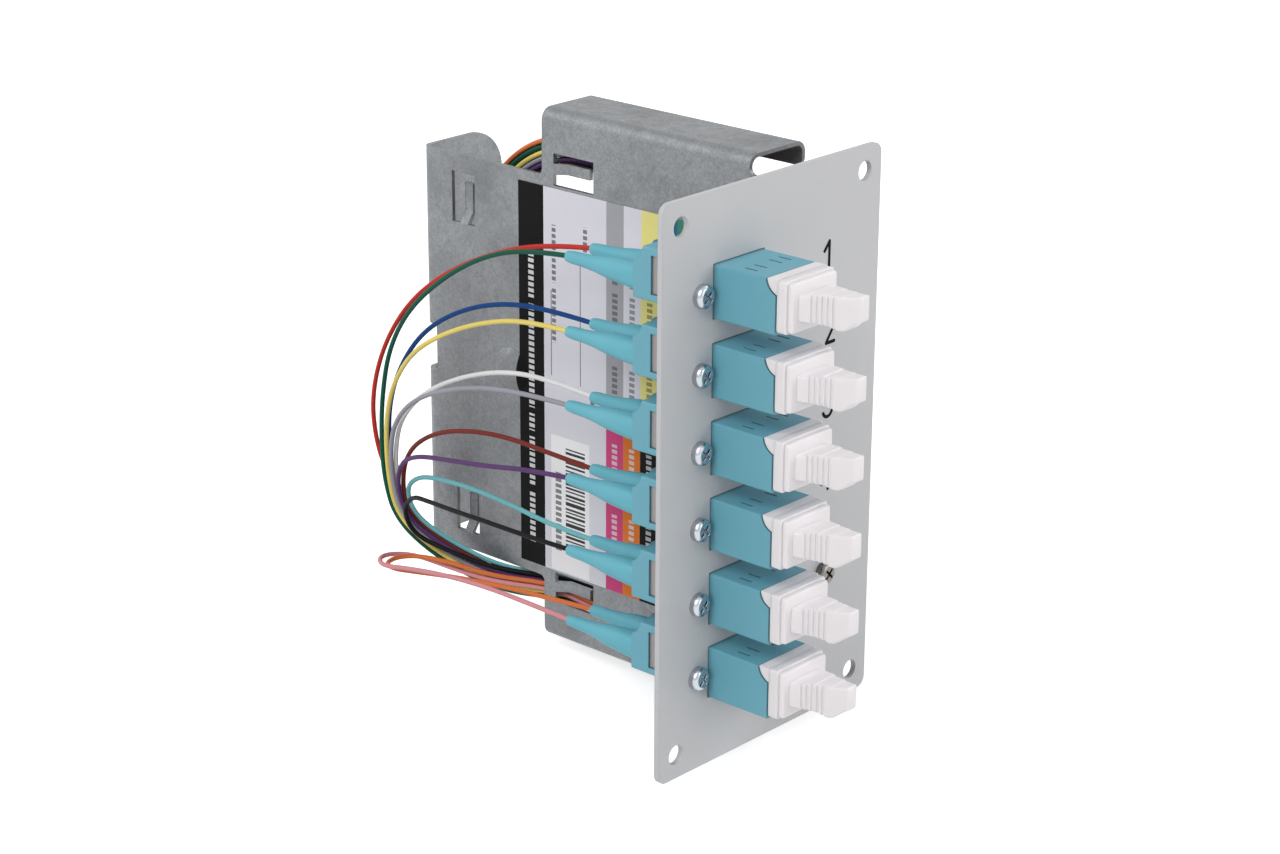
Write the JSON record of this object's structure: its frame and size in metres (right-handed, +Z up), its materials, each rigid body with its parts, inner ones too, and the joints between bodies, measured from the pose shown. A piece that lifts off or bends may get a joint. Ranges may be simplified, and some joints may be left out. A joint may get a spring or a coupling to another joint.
{
  "type": "fibre splice module",
  "caption": "Front panel with duplex fibre adapters, dust plugs and a folded carrier that holds pigtails and their splices, for a DIN rail splice box.",
  "frame": {"origin": "middle of the four panel screw holes, on the front panel's back face", "axes": "+X to the right and +Y to the back, seen from the front, +Z up"},
  "size_m": [0.057, 0.1218, 0.1034],
  "materials": {
    "panel_coating": "fine satin powder coat",
    "galvanised_steel": "mottled galvanised sheet",
    "label_film": "printed film, fields of colour",
    "aqua_plastic": "satin moulded",
    "white_plastic": "soft satin moulded",
    "plug_body_plastic": "satin moulded",
    "boot_rubber": "satin",
    "spring_steel": "bright",
    "ceramic": "polished zirconia",
    "plated_screw": "bright zinc plating",
    "stainless_screw": "polished stainless steel",
    "comb_plastic": "satin moulded",
    "clear_sleeve": "shrink sleeve",
    "foam": "closed-cell foam",
    "fibre_mix": "many coloured tight-buffered fibres",
    "fibre_red": "tight buffer, satin",
    "fibre_green": "tight buffer, satin",
    "fibre_blue": "tight buffer, satin",
    "fibre_yellow": "tight buffer, satin",
    "fibre_white": "tight buffer, satin",
    "fibre_grey": "tight buffer, satin",
    "fibre_brown": "tight buffer, satin",
    "fibre_violet": "tight buffer, satin",
    "fibre_turquoise": "tight buffer, satin",
    "fibre_black": "tight buffer, satin",
    "fibre_orange": "tight buffer, satin",
    "fibre_pink": "tight buffer, satin"
  },
  "bodies": {
    "root": {"front_panel": "panel_coating", "carrier_bracket": "galvanised_steel", "port_label": "label_film", "adapter_1": "aqua_plastic", "adapter_2": "aqua_plastic", "adapter_3": "aqua_plastic", "adapter_4": "aqua_plastic", "adapter_5": "aqua_plastic", "adapter_6": "aqua_plastic", "lc_plugs_1": "plug_body_plastic", "lc_plugs_2": "plug_body_plastic", "lc_plugs_3": "plug_body_plastic", "lc_plugs_4": "plug_body_plastic", "lc_plugs_5": "plug_body_plastic", "lc_plugs_6": "plug_body_plastic", "boots_1": "boot_rubber", "boots_2": "boot_rubber", "boots_3": "boot_rubber", "boots_4": "boot_rubber", "boots_5": "boot_rubber", "boots_6": "boot_rubber", "adapter_side_clips": "spring_steel", "alignment_sleeves": "ceramic", "ferrules": "ceramic", "duplex_clips": "aqua_plastic", "adapter_screws": "plated_screw", "adapter_nuts": "plated_screw", "bracket_screws": "stainless_screw", "splice_comb": "comb_plastic", "splice_protectors": "clear_sleeve", "foam_pad": "foam", "fibre_coil": "fibre_mix", "pigtail_1": "fibre_red", "pigtail_2": "fibre_green", "pigtail_3": "fibre_blue", "pigtail_4": "fibre_yellow", "pigtail_5": "fibre_white", "pigtail_6": "fibre_grey", "pigtail_7": "fibre_brown", "pigtail_8": "fibre_violet", "pigtail_9": "fibre_turquoise", "pigtail_10": "fibre_black", "pigtail_11": "fibre_orange", "pigtail_12": "fibre_pink"},
    "plug_1": {"dust_plug_1": "white_plastic"},
    "plug_2": {"dust_plug_2": "white_plastic"},
    "plug_3": {"dust_plug_3": "white_plastic"},
    "plug_4": {"dust_plug_4": "white_plastic"},
    "plug_5": {"dust_plug_5": "white_plastic"},
    "plug_6": {"dust_plug_6": "white_plastic"}
  },
  "joints": [
    {"name": "plug_1_pull", "type": "slide", "parent": "root", "child": "plug_1", "axis": [0, -1, 0], "range_m": [0, 0.02]},
    {"name": "plug_2_pull", "type": "slide", "parent": "root", "child": "plug_2", "axis": [0, -1, 0], "range_m": [0, 0.02]},
    {"name": "plug_3_pull", "type": "slide", "parent": "root", "child": "plug_3", "axis": [0, -1, 0], "range_m": [0, 0.02]},
    {"name": "plug_4_pull", "type": "slide", "parent": "root", "child": "plug_4", "axis": [0, -1, 0], "range_m": [0, 0.02]},
    {"name": "plug_5_pull", "type": "slide", "parent": "root", "child": "plug_5", "axis": [0, -1, 0], "range_m": [0, 0.02]},
    {"name": "plug_6_pull", "type": "slide", "parent": "root", "child": "plug_6", "axis": [0, -1, 0], "range_m": [0, 0.02]}
  ]
}
